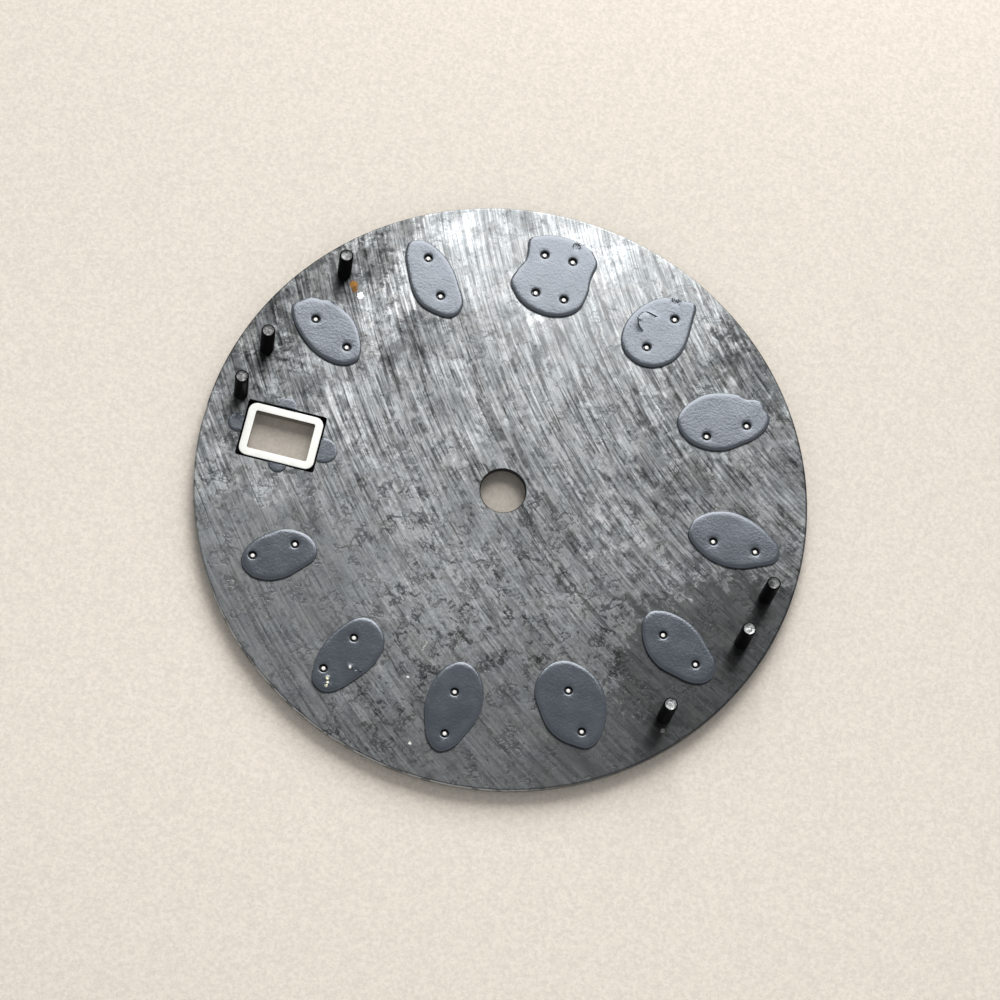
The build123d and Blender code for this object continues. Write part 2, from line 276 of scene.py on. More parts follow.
# Painted shade round the base of each dial foot: how much darker it is, and its reach
foot_shade = 0.35
foot_shade_reach = 0.9
foot_circle_radius = 13.0
foot_angles = (138.2, 161.7, 173.1, -8.8, -19.8, -42.7)
foot_radius_shares = (0.996, 0.992, 0.996, 1.006, 1.002, 0.994)
foot_places = [
    (foot_circle_radius * share * cos(radians(angle)), foot_circle_radius * share * sin(radians(angle)))
    for angle, share in zip(foot_angles, foot_radius_shares)
]

# Plate: its edges are given as distances inward and heights, from the front to the back, and a chip in
# the rim has an angle, half its width in degrees and a depth. The metal is bare on the back and on the
# rim, carries a painted highlight along a part of the rim's edge, and is coated elsewhere.
plate_radius = 14.25
plate_rim = ((0.16, -0.3), (0.06, -0.3), (0.018, -0.29), (0.0, -0.26), (0.0, -0.03), (0.008, -0.01),
             (0.025, 0.0), (0.1, 0.0))
hole_edge = ((0.16, -0.3), (0.02, -0.3), (0.0, -0.28), (0.0, -0.06), (0.045, -0.004), (0.048, 0.0),
             (0.1, 0.0))
opening_edge = ((0.16, -0.3), (0.02, -0.3), (0.0, -0.28), (0.0, -0.003), (0.003, 0.0), (0.06, 0.0))
plate_sides = 240
hole_radius = 1.05
hole_sides = 72
aperture_length = 3.72
aperture_width = 2.8
aperture_corner = 0.1
aperture_corner_steps = 5
rim_chips = ((179, 1.2, 0.09), (214, 0.8, 0.05), (221, 1.4, 0.06), (229.5, 0.9, 0.05), (236, 1.6, 0.05),
             (243.5, 0.8, 0.06), (252, 1.1, 0.03), (318, 0.8, 0.04), (110, 0.7, 0.03))
chips_above = -0.26
bare_back_heights = (-0.003, -0.001)
bare_rim_heights = (-0.27, -0.2)
bare_rim = (0.25, 0.15)
# A painted highlight along the rim's edge at the lower left: its band inward from the rim, its middle and
# its reach
rim_highlight_band = (0.05, 0.025)
rim_highlight_place = (-4.5, -13.2)
rim_highlight_reach = 10.5

# Date frame: its edge on the back is given, in shares of its softness, by how far inward and down it is,
# and how much the corners are tighter outside and wider inside. The bands are the faces after each loop,
# counted from the front of the window, that carry painted shade: black (1) in the gap round the frame,
# along the window's inner edge and at the top of its wall, and a shaded brown on the rest of the wall (2).
window_size = (2.8, 1.87)
window_corner = 0.08
window_bevel = 0.1
# Depth of the painted black shade at the top of the window's wall
window_shade_depth = 0.07
flange_corner = 0.4
flange_bevel = 0.08
frame_size = (3.54, 2.61)
frame_corner = 0.4
frame_corner_steps = 6
frame_back = -0.01
frame_softness = 0.03
frame_edge = ((0, 1, 0, 0), (0.3, 0.45, 0, 0), (1, 0.1, 0, 1), (2, 0, 1, 1))
frame_painted_shade_bands = {4: 1, 5: 1, 12: 1, 13: 1, 14: 2}
frame_wave = 0.006
frame_wave_scale = 4

# Printed minute track on the front
track_radius = 13.55
tick_length = 0.55
tick_width = 0.1
five_minute_tick_width = 0.22
print_thickness = 0.008

# Colours, from dark to pale where there are two. A plain finish has a colour, a roughness and how metallic
# it is.
metal_colours = ((0.187, 0.198, 0.204), (0.2, 0.204, 0.205))
# The colour of the painted highlight on the rim's edge
rim_highlight_colour = (0.5, 0.51, 0.52)
coating_colour = (0.012, 0.012, 0.013)
resin_colours = ((0.045, 0.054, 0.066), (0.056, 0.066, 0.079))
resin_gloss_tint = (0.86, 0.91, 1.0)
black_colours = ((0.004, 0.004, 0.005), (0.02, 0.02, 0.021))
cut_end_colours = {
    "dull_cut_end": ((0.05, 0.05, 0.052), (0.24, 0.24, 0.24)),
    "bright_cut_end": ((0.1, 0.1, 0.1), (0.6, 0.61, 0.61)),
}
plain_finishes = {
    "well_shadow": ((0.004, 0.004, 0.005), 0.6, 0.0),
    # The marker foot tips are near-white rough metal, a painted highlight in place of the lamp's reflection
    # in polished domed tips
    "bright_tip": ((0.95, 0.94, 0.92), 0.75, 1.0),
    "polished_metal": ((0.72, 0.72, 0.74), 0.12, 1.0),
    "pale_lume": ((0.62, 0.66, 0.5), 0.6, 0.0),
    "white_paint": ((1.0, 1.0, 0.95), 0.5, 0.0),
    # The window's wall is a shaded brown, painted shade on the white-painted frame
    "painted_shade_window_wall": ((0.2, 0.175, 0.15), 0.7, 0.0),
}
plain_variation = 0.93


def box_of(node):
    """The lowest and highest corners of a CAD node, and its middle."""
    low, high = (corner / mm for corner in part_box(node))
    return low, high, (low + high) / 2


def node_points(node):
    """The vertices of a CAD node."""
    return [vertex.co / mm for vertex in frame["nodes"][node].data.vertices]


def new_object(name, data):
    """An object in the scene."""
    thing = bpy.data.objects.new(name, data)
    bpy.context.scene.collection.objects.link(thing)
    return thing


def new_piece(name, vertices, faces, materials, replaced=(), face_materials=None, merged=False):
    """A piece that rides on the dial, made from vertices in millimetres."""
    mesh = bpy.data.meshes.new(name)
    mesh.from_pydata([Vector(vertex) * mm for vertex in vertices], [], faces)
    for material in materials:
        mesh.materials.append(material)
    if face_materials:
        mesh.polygons.foreach_set("material_index", face_materials)
    shape = bmesh.new()
    shape.from_mesh(mesh)
    if merged:
        bmesh.ops.remove_doubles(shape, verts=shape.verts, dist=merge_distance * mm)
    bmesh.ops.recalc_face_normals(shape, faces=shape.faces)
    shape.to_mesh(mesh)
    shape.free()
    mesh.polygons.foreach_set("use_smooth", [True] * len(mesh.polygons))
    mesh.set_sharp_from_angle(angle=radians(sharp_angle))
    mesh.update()
    piece = new_object(name, mesh)
    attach(piece, body)
    if replaced:
        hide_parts(*replaced)


def skin(loops, joined=False):
    """Vertices and faces over closed loops of equal length. The last loop is joined to the first, or
    else both ends are capped."""
    count = len(loops[0])
    vertices = [point for loop in loops for point in loop]
    faces = []
    for index in range(len(loops) if joined else len(loops) - 1):
        start, other = index * count, (index + 1) % len(loops) * count
        for side in range(count):
            after = (side + 1) % count
            faces.append((start + side, start + after, other + after, other + side))
    if not joined:
        faces.append(tuple(reversed(range(count))))
        faces.append(tuple(range(len(vertices) - count, len(vertices))))
    return vertices, faces


def filled(loops):
    """Points and faces over the area inside the first loop and outside the others, which run backwards."""
    plan = [point for loop in loops for point in loop]
    edges, start = [], 0
    for loop in loops:
        edges.append(list(range(start, start + len(loop))))
        start += len(loop)
    flat = [point.xy for point in plan]
    _, _, faces, sources, *_ = delaunay_2d_cdt(flat, [], edges, without_holes, fill_tolerance)
    return plan, [tuple(sources[index][0] for index in face) for face in faces]


def joined_parts(parts):
    """One list of vertices and one of faces from several."""
    vertices, faces = [], []
    for part_vertices, part_faces in parts:
        start = len(vertices)
        vertices += part_vertices
        faces += [tuple(start + index for index in face) for face in part_faces]
    return vertices, faces


def ring(place, radius, height, sides):
    return [
        Vector((place[0] + radius * cos(tau * k / sides), place[1] + radius * sin(tau * k / sides), height))
        for k in range(sides)
    ]


def rounded_rectangle(length, width, corner, steps):
    """A closed loop of points about the origin."""
    points = []
    for quarter, (side_x, side_y) in enumerate(((1, 1), (-1, 1), (-1, -1), (1, -1))):
        centre = Vector((side_x * (length / 2 - corner), side_y * (width / 2 - corner)))
        for step in range(steps + 1):
            angle = (quarter + step / steps) * pi / 2
            points.append(centre + Vector((cos(angle), sin(angle))) * corner)
    return points


def marker_frame(hour):
    """The place of an hour's marker, and the directions outward and to its left."""
    angle = radians(90 + 30 * hour)
    outward = Vector((cos(angle), sin(angle)))
    left = Vector((-outward.y, outward.x))
    return outward * marker_circle_radius, outward, left


def pad_place(hour, across, along):
    """A place on an hour's pad, from the distances to the right and outward from its marker's middle."""
    place, outward, left = marker_frame(hour)
    return place - left * across + outward * along


def asides_of(hour):
    """The names of an hour's markers, and how far each is to the left."""
    if hour == 12:
        return {"12_left": marker_pair_aside, "12_right": -marker_pair_aside}
    return {f"{hour:02d}": 0}


def marker_feet(hour, aside):
    place, outward, left = marker_frame(hour)
    return [place + left * aside + outward * along for along in (marker_foot_along, -marker_foot_along)]


def even_rays(count):
    """Directions at even angles, from -X on."""
    return [Vector((cos(a), sin(a))) for a in (-pi + tau * k / count for k in range(count))]


def outline_of(node, level_low, level_high, skipped=()):
    """The middle of a flat node, and its outline as radii at even angles about the middle. It is read
    between two heights, without the points near the places in skipped."""
    points = [
        Vector((point.x, point.y))
        for point in node_points(node)
        if level_low <= point.z <= level_high
        and all(hypot(point.x - x, point.y - y) > well_clearance for x, y in skipped)
    ]
    lowest = Vector((min(p.x for p in points), min(p.y for p in points)))
    highest = Vector((max(p.x for p in points), max(p.y for p in points)))
    middle = (lowest + highest) / 2
    polar = sorted((atan2(p.y - middle.y, p.x - middle.x), (p - middle).length) for p in points)
    polar = [(a - tau, r) for a, r in polar] + polar + [(a + tau, r) for a, r in polar]
    radii = []
    index = 0
    for step in range(outline_steps):
        angle = -pi + tau * step / outline_steps
        while polar[index + 1][0] <= angle:
            index += 1
        (angle_a, radius_a), (angle_b, radius_b) = polar[index], polar[index + 1]
        a = Vector((cos(angle_a), sin(angle_a))) * radius_a
        across = Vector((cos(angle_b), sin(angle_b))) * radius_b - a
        ray = Vector((cos(angle), sin(angle)))
        turn = ray.x * across.y - ray.y * across.x
        radii.append(radius_a if abs(turn) < least_turn else (a.x * across.y - a.y * across.x) / turn)
    return middle, radii


def smoothed(radii):
    return [(radii[k - 1] + 2 * radii[k] + radii[(k + 1) % len(radii)]) / 4 for k in range(len(radii))]


def pushed(middle, radii, pushes):
    """Radii at even angles about the middle, moved out near some places."""
    moved = []
    for ray, radius in zip(even_rays(len(radii)), radii):
        point = middle + ray * radius
        for place, reach, amount in pushes:
            radius += amount * max(0, 1 - ((point - place).length / reach) ** 2) ** 2
        moved.append(radius)
    return moved


def steps_along(corners, step):
    """Points at even steps along straight runs, each with the direction to its left."""
    points = []
    for start, end in zip(corners, corners[1:]):
        along = end - start
        count = max(1, round(along.length / step))
        side = Vector((-along.y, along.x)).normalized()
        points += [(start + along * k / count, side) for k in range(count)]
    return points


def closed_below(vertices, faces, rim, wells, lips, bottom):
    """Adds the wall, the wells and the underside to a pad's upper skin, and gives every face's material
    number, which is 1 inside the wells."""
    start = len(vertices)
    vertices += [Vector((vertices[index].x, vertices[index].y, bottom)) for index in rim]
    base_loops = [list(range(start, start + len(rim)))]
    for k in range(len(rim)):
        after = (k + 1) % len(rim)
        faces.append((rim[k], rim[after], start + after, start + k))
    outer_faces = len(faces)
    for place, above in zip(wells, lips):
        for radius, height in (
            (well_radius - well_taper, well_floor_height),
            (well_hole_radius, well_floor_height),
            (well_hole_radius, bottom),
        ):
            start = len(vertices)
            vertices += ring(place, radius, height, well_sides)
            for k in range(well_sides):
                after = (k + 1) % well_sides
                faces.append((above[k], start + k, start + after, above[after]))
            above = list(range(start, start + well_sides))
        base_loops.append(above[::-1])
    well_faces = len(faces) - outer_faces
    numbers = [index for loop in base_loops for index in loop]
    _, base_faces = filled([[vertices[index] for index in loop] for loop in base_loops])
    faces += [tuple(numbers[index] for index in face) for face in base_faces]
    return [0] * outer_faces + [1] * well_faces + [0] * len(base_faces)


def cushion(middle, radii, bottom, top, edge_width, wells=(), dimples=(), crack=(), sheer=None):
    """Vertices, faces and material numbers of a pad with a rounded edge, which rises from the plate to top
    and reaches down to bottom. Its edge is sheer on the side that faces along sheer."""
    plan, heights = [], []

    def add(points, height):
        start = len(plan)
        plan.extend(points)
        heights.extend(height if isinstance(height, list) else [height] * len(points))
        return list(range(start, len(plan)))

    rays = even_rays(len(radii))
    extents = [ray.dot(sheer) * radius for ray, radius in zip(rays, radii)] if sheer else [0.0] * len(rays)
    sheer_rays = [bool(sheer) and extent > sheer_share * max(extents) for extent in extents]
    rims = []
    for inset, share in pad_edge:
        points = []
        for ray, radius in zip(rays, radii):
            wobble = 1 + edge_wobble * noise.noise(Vector((ray.x, ray.y, middle.x)) * edge_wobble_scale)
            points.append(middle + ray * (radius - edge_width * wobble * inset))
        rims.append(add(points, [top * (1.0 if cut else share) for cut in sheer_rays]))
    lips = []
    for place in wells:
        rings = [
            add([p.xy for p in ring(place, well_radius + widening, 0, well_sides)], top * share)
            for widening, share in well_lip
        ]
        lips.append(rings[0])
    hollows = [(place, well_radius + well_lip[-1][0]) for place in wells]
    for place, radius, depth in dimples:
        for share, drop in dimple_profile:
            add([p.xy for p in ring(place, radius * share, 0, well_sides)], top - depth * drop)
        hollows.append((place, dimple_profile[-1][0] * radius))
    places = steps_along(crack, crack_step)
    for step, (point, side) in enumerate(places):
        from_middle = abs(2 * step / (len(places) - 1) - 1)
        strength = crack_strengths[0] + (crack_strengths[1] - crack_strengths[0]) * from_middle ** 2
        for offset, rise in crack_rows:
            add([point + side * offset], top + rise * strength)
        hollows.append((point, -crack_rows[0][0]))
    steps = int(max(radii) / fill_spacing) + 1
    for row in range(-steps, steps + 1):
        for column in range(-steps, steps + 1):
            offset = Vector((column + row % 2 / 2, row * sqrt(3) / 2)) * fill_spacing
            index = round((atan2(offset.y, offset.x) + pi) / tau * len(radii)) % len(radii)
            inside = offset.length < radii[index] - fill_margin * edge_width - fill_spacing / 2
            if inside and all(
                (middle + offset - place).length > reach + fill_spacing / 2 for place, reach in hollows
            ):
                add([middle + offset], top)
    edges = [rims[0], *(lip[::-1] for lip in lips)]
    points, _, faces, sources, *_ = delaunay_2d_cdt(plan, [], edges, without_holes, fill_tolerance)
    new_index = {old: index for index, source in enumerate(sources) for old in source}
    vertices = []
    for point, source in zip(points, sources):
        height = heights[source[0]]
        swell = pad_swell * noise.noise(Vector((point.x, point.y, top)) * pad_swell_scale)
        vertices.append(Vector((point.x, point.y, height + swell * (height > top / 2))))
    faces = [tuple(face) for face in faces]
    rim, *lips = [[new_index[index] for index in loop] for loop in (rims[0], *lips)]
    return vertices, faces, closed_below(vertices, faces, rim, wells, lips, bottom)


class Graph:
    """A material and its nodes."""

    def __init__(self, name):
        self.material = bpy.data.materials.new(name)
        self.material.use_nodes = True
        self.tree = self.material.node_tree
        self.shader = self.tree.nodes["Principled BSDF"]
        self.objects = self.node("TexCoord").outputs["Object"]

    def node(self, kind, inputs=None, **settings):
        node = self.tree.nodes.new("ShaderNode" + kind)
        for key, value in settings.items():
            setattr(node, key, value)
        for key, value in (inputs or {}).items():
            self.put(node.inputs[key], value)
        return node

    def put(self, socket, value):
        if isinstance(value, bpy.types.NodeSocket):
            self.tree.links.new(value, socket)
        else:
            socket.default_value = value

    def set(self, **values):
        for key, value in values.items():
            self.put(self.shader.inputs[key.replace("_", " ")], value)

    def math(self, operation, *values):
        return self.node("Math", dict(enumerate(values)), operation=operation).outputs[0]

    def vector(self, operation, *values):
        return self.node("VectorMath", dict(enumerate(values)), operation=operation).outputs["Vector"]

    def scaled(self, colour, share):
        return self.node("VectorMath", {0: colour, "Scale": share}, operation="SCALE").outputs["Vector"]

    def length(self, vector):
        return self.node("VectorMath", {0: vector}, operation="LENGTH").outputs["Value"]

    def sides(self, vector):
        return self.node("SeparateXYZ", {0: vector}).outputs

    def place(self, scale=(1, 1, 1)):
        """Object coordinates in millimetres, stretched by scale."""
        return self.vector("MULTIPLY", self.objects, tuple(value / mm for value in scale))

    def flat_place(self):
        return self.vector("MULTIPLY", self.place(), (1, 1, 0))

    def noise(self, vector, scale=1.0, detail=3.0, roughness=0.55, distortion=0.0):
        inputs = {
            "Vector": vector, "Scale": scale, "Detail": detail, "Roughness": roughness,
            "Distortion": distortion,
        }
        return self.node("TexNoise", inputs).outputs["Fac"]

    def remap(self, value, low, high, to_low=0.0, to_high=1.0):
        inputs = {"Value": value, "From Min": low, "From Max": high, "To Min": to_low, "To Max": to_high}
        return self.node("MapRange", inputs, interpolation_type="SMOOTHSTEP").outputs["Result"]

    def mix(self, share, a, b):
        node = self.node("Mix", data_type="RGBA")
        self.put(node.inputs["Factor"], share)
        self.put(node.inputs[6], (*a, 1) if isinstance(a, tuple) else a)
        self.put(node.inputs[7], (*b, 1) if isinstance(b, tuple) else b)
        return node.outputs[2]

    def spot(self, place, x, y, reach, soft=1.0):
        """1 at a place on the back, falling to 0 at its reach."""
        distance = self.length(self.vector("SUBTRACT", place, (x, y, 0)))
        return self.remap(distance, reach, reach * (1 - soft))

    def warped(self, scale, reach, detail=2.0):
        """Flat coordinates in millimetres, moved about by up to reach."""
        noise_inputs = {"Vector": self.place(), "Scale": scale, "Detail": detail}
        colour = self.node("TexNoise", noise_inputs).outputs["Color"]
        start = self.vector("SUBTRACT", self.flat_place(), (reach, reach, 0))
        return self.vector("MULTIPLY_ADD", colour, (2 * reach, 2 * reach, 0), start)

    def bump(self, height, depth):
        """A surface that rises and falls by depth millimetres as height goes from 0 to 1."""
        return self.node("Bump", {"Height": height, "Distance": depth * mm}).outputs["Normal"]

    def varied(self, tone, amount, share):
        """The tone, times 1 less or more the amount as the share goes from 0 to 1."""
        return self.math("MULTIPLY", tone, self.remap(share, 0, 1, 1 - amount, 1 + amount))

    def darker(self, tone, amount, share):
        """The tone, made darker by amount where share is 1."""
        return self.math("MULTIPLY", tone, self.remap(share, 0, 1, 1, 1 - amount))

    def gentler(self, tone, share):
        """The tone, with its contrast cut where share is 1."""
        return self.remap(share, 0, 1, tone, self.remap(tone, 0, 2, *calm_tones))


def streaks(graph, across, along, wander, shift, detail=1):
    """A noise drawn out along arcs about the centre of brushing."""
    away = graph.vector("SUBTRACT", graph.flat_place(), (*brush_centre, 0))
    sides = graph.sides(away)
    turn = graph.math("ARCTAN2", sides["Y"], sides["X"])
    inputs = {
        0: graph.math("MULTIPLY", turn, hypot(*brush_centre) * along),
        1: graph.math("MULTIPLY", graph.length(away), across),
        2: shift,
    }
    drawn_out = graph.node("CombineXYZ", inputs).outputs[0]
    return graph.noise(drawn_out, detail=detail, roughness=0.6, distortion=wander)


def lines(graph, level, width, mask_scale, low, high):
    """Thin lines where a noise is at its middle, broken up by a coarser noise."""
    away = graph.math("ABSOLUTE", graph.math("SUBTRACT", level, 0.5))
    mask = graph.remap(graph.noise(graph.place(), scale=mask_scale, detail=2), low, high)
    return graph.math("MULTIPLY", graph.remap(away, width, line_core * width), mask)


def arc_lines(graph, across, along, wander, shift, *shape):
    return lines(graph, streaks(graph, across, along, wander, shift), *shape)


def veins(graph, scale, *shape):
    return lines(graph, graph.noise(graph.place(), scale=scale, roughness=0.65, distortion=0.3), *shape)


def brushed_tone(graph, bands):
    """The tone of the metal where brushing shows."""
    tone = brushed_level
    for band, amount in zip(bands, band_amounts):
        tone = graph.varied(tone, amount, band)
    for *shape, amount in brushed_lines:
        tone = graph.darker(tone, amount, arc_lines(graph, *shape))
    return tone


def worn_tone(graph, patches, cracks):
    """The tone of the metal where brushing has worn away."""
    place = graph.place()
    grain = graph.remap(graph.noise(place, scale=7, detail=1, roughness=0.6), 0.36, 0.64)
    flakes = graph.remap(graph.noise(place, scale=2.8, roughness=0.6), 0.46, 0.54)
    tone = worn_level
    for share, amount in ((grain, 0.1), (graph.remap(patches, 0.3, 0.7), 0.05), (flakes, 0.03)):
        tone = graph.varied(tone, amount, share)
    return graph.darker(graph.darker(tone, 0.6, cracks), 0.5, veins(graph, *worm_veins))


def stained_tone(graph, tone, patches):
    """The tone with the calm places, the patina and painted light, the films, and the painted shade round
    the dial feet.
    """
    flat_place = graph.flat_place()
    calm = 0.0
    for x, y, reach in calm_places:
        calm = graph.math("MAXIMUM", calm, graph.spot(flat_place, x, y, reach, calm_softness))
    tone = graph.gentler(tone, calm)
    stained = graph.warped(0.7, 1.6, 4)
    ragging = graph.remap(patches, 0.3, 0.7, -stain_ragging, stain_ragging)
    # Patina in part, and painted shade and painted light in part
    for x, y, reach, amount in stains_and_painted_light:
        share = graph.math("ADD", graph.spot(stained, x, y, reach), ragging)
        tone = graph.darker(tone, amount, graph.remap(share, *stain_edge))
    for x, y, reach, amount in films:
        share = graph.math("MULTIPLY_ADD", ragging, film_ragging, graph.spot(stained, x, y, reach))
        covered = graph.math("MULTIPLY", graph.remap(tone, 0, 2, *film_tones), 1 - amount)
        tone = graph.remap(graph.remap(share, *film_edge), 0, 1, tone, covered)
    # Painted shade round the base of each dial foot
    for x, y in foot_places:
        tone = graph.darker(tone, foot_shade, graph.spot(stained, x, y, foot_shade_reach, 0.7))
    return tone


def metal_colour(graph, tone):
    """The bare metal's colour in that tone, with the specks on it."""
    blotches = graph.noise(graph.place(), scale=0.8, detail=4, roughness=0.7, distortion=0.6)
    metal = graph.scaled(graph.mix(graph.remap(blotches, 0.38, 0.62), *metal_colours), tone)
    ragged = graph.warped(7, 0.1)
    for x, y, reach, colour in specks:
        metal = graph.mix(graph.spot(ragged, x, y, reach, speck_softness), metal, colour)
    return metal


def plate_material():
    graph = Graph("brushed_steel")
    place, flat_place = graph.place(), graph.flat_place()
    sides = graph.sides(place)
    patches = graph.noise(place, scale=2.1, detail=4, roughness=0.75, distortion=0.4)
    cloud = graph.noise(place, scale=0.3, detail=4, roughness=0.65, distortion=0.5)
    upper = graph.math("ADD", sides["Y"], graph.math("MULTIPLY", cloud, cloud_reach))
    upper = graph.remap(upper, *brushed_from)
    lower = graph.math("SUBTRACT", 1.0, upper)
    bands = [graph.remap(streaks(graph, *shape), low, high) for *shape, low, high in brushed_bands]
    cracks = veins(graph, *crack_veins)
    scratches = arc_lines(graph, *scratch_lines)
    pits = graph.remap(graph.noise(place, scale=3.0, detail=2, roughness=0.6), 0.66, 0.71)

    brushed = graph.gentler(brushed_tone(graph, bands), lower)
    tone = graph.math("MULTIPLY", brushed, graph.gentler(worn_tone(graph, patches, cracks), upper))
    tone = graph.darker(graph.darker(tone, 0.45, scratches), 0.45, pits)
    metal = metal_colour(graph, stained_tone(graph, tone, patches))

    radius = graph.length(flat_place)
    # A painted highlight along the rim's edge at the lower left, broken up by a noise
    broken = graph.remap(graph.noise(place, scale=1.6), 0.42, 0.5)
    broken = graph.math("MULTIPLY", broken, graph.spot(flat_place, *rim_highlight_place, rim_highlight_reach, 0.3))
    edge = graph.remap(radius, *(plate_radius - inward for inward in rim_highlight_band))
    metal = graph.mix(graph.math("MULTIPLY", edge, broken), metal, rim_highlight_colour)
    rim = graph.remap(radius, *(plate_radius - inward for inward in bare_rim))
    outside = graph.math("MULTIPLY", rim, graph.remap(sides["Z"], *bare_rim_heights))
    bare = graph.math("MAXIMUM", graph.remap(sides["Z"], *bare_back_heights), outside)
    graph.set(Base_Color=graph.mix(bare, coating_colour, metal), Metallic=bare)
    graph.set(Roughness=graph.remap(bands[1], 0, 1, 0.36, 0.28), Anisotropic=0.6, Specular_IOR_Level=0.2)
    across = graph.vector("SUBTRACT", flat_place, (*brush_centre, 0))
    relief = graph.math("MULTIPLY", bands[0], upper)
    relief = graph.math("SUBTRACT", relief, graph.math("ADD", cracks, scratches))
    graph.set(Tangent=graph.vector("NORMALIZE", across), Normal=graph.bump(relief, brush_depth))
    return graph.material


def resin_material():
    graph = Graph("grey_adhesive")
    mottle = graph.noise(graph.place(), scale=1.1)
    colour = graph.mix(graph.remap(mottle, 0.3, 0.7), *resin_colours)
    ragged = graph.warped(7, 0.06)
    for hour, flecks in pad_flecks.items():
        for across, along, reach, tint in flecks:
            spot = pad_place(hour, across, along)
            colour = graph.mix(graph.spot(ragged, spot.x, spot.y, reach, speck_softness), colour, tint)
    graph.set(Base_Color=colour, Roughness=graph.remap(mottle, 0.3, 0.7, 0.22, 0.245))
    graph.set(IOR=1.62, Specular_IOR_Level=0.92, Specular_Tint=(*resin_gloss_tint, 1.0))
    graph.set(Normal=graph.bump(graph.noise(graph.place(), scale=9, detail=2), 0.006))
    return graph.material


def black_material():
    graph = Graph("black_coating")
    wear = graph.noise(graph.place((1, 1, 0.3)), scale=4, detail=4, roughness=0.7)
    graph.set(Base_Color=graph.mix(graph.remap(wear, 0.62, 0.7), *black_colours))
    graph.set(Roughness=graph.remap(wear, 0.3, 0.7, 0.3, 0.4), Specular_IOR_Level=0.03)
    graph.set(Normal=graph.bump(graph.noise(graph.place((1, 1, 6)), scale=2.5), 0.006))
    return graph.material


def cut_end_material(name):
    graph = Graph(name)
    cuts = graph.noise(graph.place(), scale=4.5, detail=4, roughness=0.75, distortion=0.8)
    colour = graph.mix(graph.remap(cuts, 0.35, 0.65), *cut_end_colours[name])
    graph.set(Base_Color=colour, Metallic=1.0)
    graph.set(Roughness=graph.remap(cuts, 0.3, 0.7, 0.55, 0.4), Normal=graph.bump(cuts, 0.03))
    return graph.material


def plain_material(name):
    colour, roughness, metallic = plain_finishes[name]
    graph = Graph(name)
    shade = graph.noise(graph.place(), scale=3)
    darker = tuple(value * plain_variation for value in colour)
    graph.set(Base_Color=graph.mix(graph.remap(shade, 0.3, 0.7), darker, colour))
    graph.set(Roughness=roughness, Metallic=metallic)
    return graph.material


def floor_material():
    graph = Graph("pale_floor")
    shade = graph.noise(graph.place(), scale=6, detail=4, roughness=0.8)
    darker, paler = (tuple(value * share for value in floor_colour) for share in floor_variation)
    # Painted shadow under the dial, which shows through its hole and window
    painted_shadow = graph.spot(graph.flat_place(), 0, 0, plate_radius, painted_shadow_softness)
    # Painted light: paler towards the front and darker towards the back, against the lamp's falloff
    level = graph.remap(graph.sides(graph.place())["Y"], floor_near, floor_far, *floor_painted_falloff)
    level = graph.math("MULTIPLY", level, graph.remap(painted_shadow, 0, 1, 1, painted_shadow_level))
    colour = graph.mix(graph.remap(shade, 0.3, 0.7), darker, paler)
    graph.set(Base_Color=graph.scaled(colour, level), Roughness=0.8)
    return graph.material


def make_camera():
    data = bpy.data.cameras.new("camera")
    data.lens = camera_lens
    data.clip_start = camera_nearest * mm
    data.clip_end = camera_farthest * mm
    camera = new_object("camera", data)
    forward = camera_target - camera_place
    turn = forward.to_track_quat("-Z", "Y").to_matrix() @ Matrix.Rotation(camera_roll, 3, "Z")
    camera.matrix_world = Matrix.Translation(camera_place * mm) @ turn.to_4x4()
    bpy.context.scene.camera = camera


def make_lamp():
    data = bpy.data.lights.new("softbox", "AREA")
    data.shape = "RECTANGLE"
    data.size = lamp_width * mm
    data.size_y = lamp_height * mm
    data.energy = lamp_power
    lamp = new_object("softbox", data)
    direction = lamp_direction.normalized()
    lamp.location = direction * lamp_distance * mm
    lamp.rotation_mode = "QUATERNION"
    lamp.rotation_quaternion = (-direction).to_track_quat("-Z", "Y")


def make_world():
    world = bpy.data.worlds.new("studio")
    world.use_nodes = True
    nodes, links = world.node_tree.nodes, world.node_tree.links
    background = nodes["Background"]
    background.inputs["Color"].default_value = (1, 1, 1, 1)
    coordinates = nodes.new("ShaderNodeTexCoord")
    toward = nodes.new("ShaderNodeVectorMath")
    toward.operation = "DOT_PRODUCT"
    toward.inputs[1].default_value = ceiling_direction.normalized()
    level = nodes.new("ShaderNodeMapRange")
    level.inputs["From Min"].default_value = ceiling_start
    level.inputs["From Max"].default_value = ceiling_end
    level.inputs["To Min"].default_value = room_level
    level.inputs["To Max"].default_value = ceiling_level
    links.new(coordinates.outputs["Generated"], toward.inputs[0])
    links.new(toward.outputs["Value"], level.inputs["Value"])
    links.new(level.outputs["Result"], background.inputs["Strength"])
    bpy.context.scene.world = world


def make_floor():
    half = floor_size / 2 * mm
    mesh = bpy.data.meshes.new("floor")
    corners = [(x * half, y * half, cad_low.z) for x, y in ((-1, -1), (1, -1), (1, 1), (-1, 1))]
    mesh.from_pydata(corners, [], [(0, 1, 2, 3)])
    mesh.materials.append(floor_material())
    new_object("floor", mesh)


